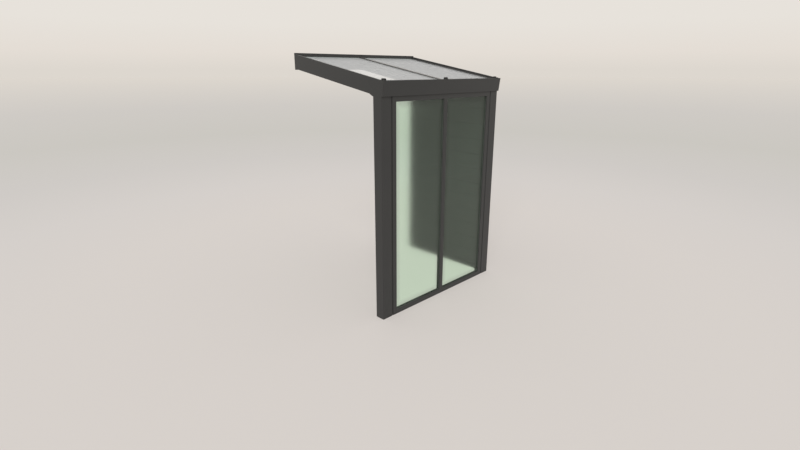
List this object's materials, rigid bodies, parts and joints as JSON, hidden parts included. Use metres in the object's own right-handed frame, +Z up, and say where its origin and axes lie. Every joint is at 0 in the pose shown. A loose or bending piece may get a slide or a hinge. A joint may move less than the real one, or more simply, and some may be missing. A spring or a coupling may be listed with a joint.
{
  "type": "patio roof",
  "caption": "Lean-to patio roof in anthracite aluminium with a box gutter, milky glass panes, fixed satin front glazing and a closed side wall.",
  "frame": {"origin": "middle of the footprint, on the ground", "axes": "+X to the right along the front, +Y from the gutter to the house wall, +Z up"},
  "size_m": [2, 1.52, 2.9045],
  "materials": {
    "anthracite_aluminium": "matt anthracite powder coat",
    "satin_glass": "satin, pale green",
    "milk_glass": "milky laminated glass",
    "black_rubber": "matt",
    "black_plastic": "matt, fine texture",
    "galvanised_steel": "galvanised"
  },
  "bodies": {
    "root": {"post_left": "anthracite_aluminium", "post_right": "anthracite_aluminium", "foot_plate_left": "galvanised_steel", "foot_plate_right": "galvanised_steel", "gutter": "anthracite_aluminium", "gutter_end_left": "anthracite_aluminium", "gutter_end_right": "anthracite_aluminium", "wall_profile": "anthracite_aluminium", "wall_cover": "anthracite_aluminium", "wall_end_left": "anthracite_aluminium", "wall_end_right": "anthracite_aluminium", "wall_seal": "black_rubber", "rafter_left": "anthracite_aluminium", "rafter_middle": "anthracite_aluminium", "rafter_right": "anthracite_aluminium", "rafter_seal_left": "black_rubber", "rafter_seal_middle": "black_rubber", "rafter_seal_right": "black_rubber", "gutter_seal": "black_rubber", "roof_glass_left": "milk_glass", "roof_glass_right": "milk_glass", "cover_strip_left": "anthracite_aluminium", "cover_strip_middle": "anthracite_aluminium", "cover_strip_right": "anthracite_aluminium", "end_cap_left": "black_plastic", "end_cap_middle": "black_plastic", "end_cap_right": "black_plastic", "front_bottom_rail": "anthracite_aluminium", "front_top_rail": "anthracite_aluminium", "front_stile_left": "anthracite_aluminium", "front_stile_right": "anthracite_aluminium", "front_mullion": "anthracite_aluminium", "joint_seal_left": "black_rubber", "joint_seal_right": "black_rubber", "front_glass_left": "satin_glass", "front_glass_right": "satin_glass", "glass_gasket_left": "black_rubber", "glass_gasket_right": "black_rubber", "side_bottom_rail": "anthracite_aluminium", "side_mid_rail": "anthracite_aluminium", "side_top_rail": "anthracite_aluminium", "side_stile_front": "anthracite_aluminium", "side_stile_rear": "anthracite_aluminium", "side_panel_lower": "anthracite_aluminium", "side_panel_upper": "anthracite_aluminium"}
  },
  "joints": []
}
